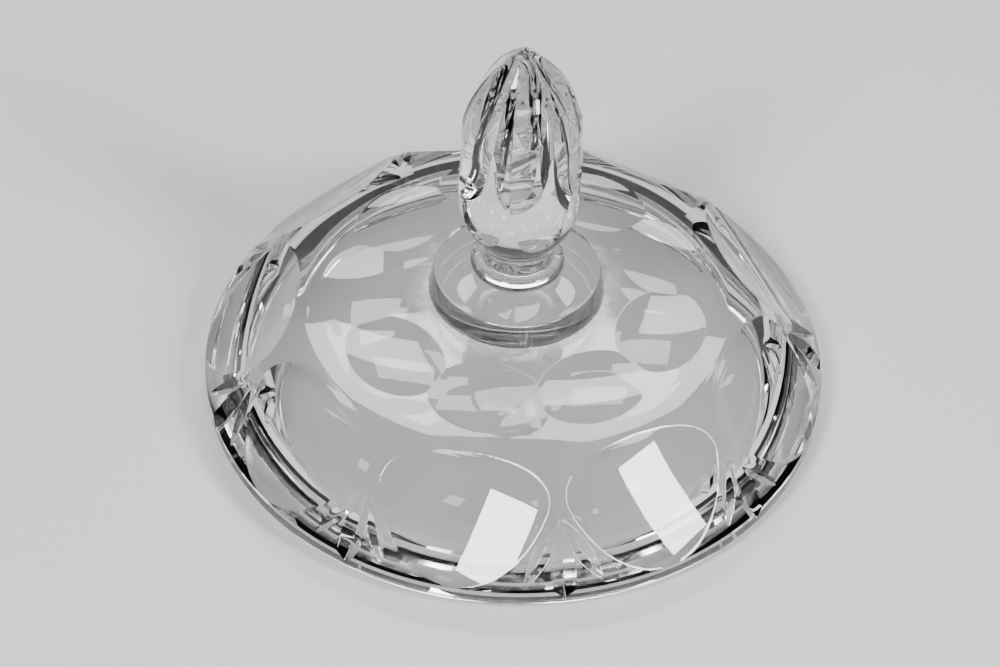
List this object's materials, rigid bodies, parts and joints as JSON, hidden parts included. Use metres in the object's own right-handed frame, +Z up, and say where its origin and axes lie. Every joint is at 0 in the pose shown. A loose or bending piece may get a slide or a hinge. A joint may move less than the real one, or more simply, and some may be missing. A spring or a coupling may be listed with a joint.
{
  "type": "powder jar lid",
  "caption": "Round cut-crystal jar lid: shallow cover with thumbprint, fan and oval cuts, a locating ring under the rim, and a tall pointed faceted knob bonded on top.",
  "frame": {"origin": "on the lid's axis, at the foot of the locating ring, where the lid stands on a table", "axes": "+Z up along the axis through the knob; -Y through the middle cut of one fan; X completes the frame"},
  "size_m": [0.13, 0.13, 0.0913],
  "materials": {
    "crystal_cover": "polished, cut",
    "crystal_knob": "polished, cut",
    "clear_adhesive": "clear, cured"
  },
  "bodies": {
    "root": {"cover": "crystal_cover", "finial": "crystal_knob", "bond": "clear_adhesive"}
  },
  "joints": []
}
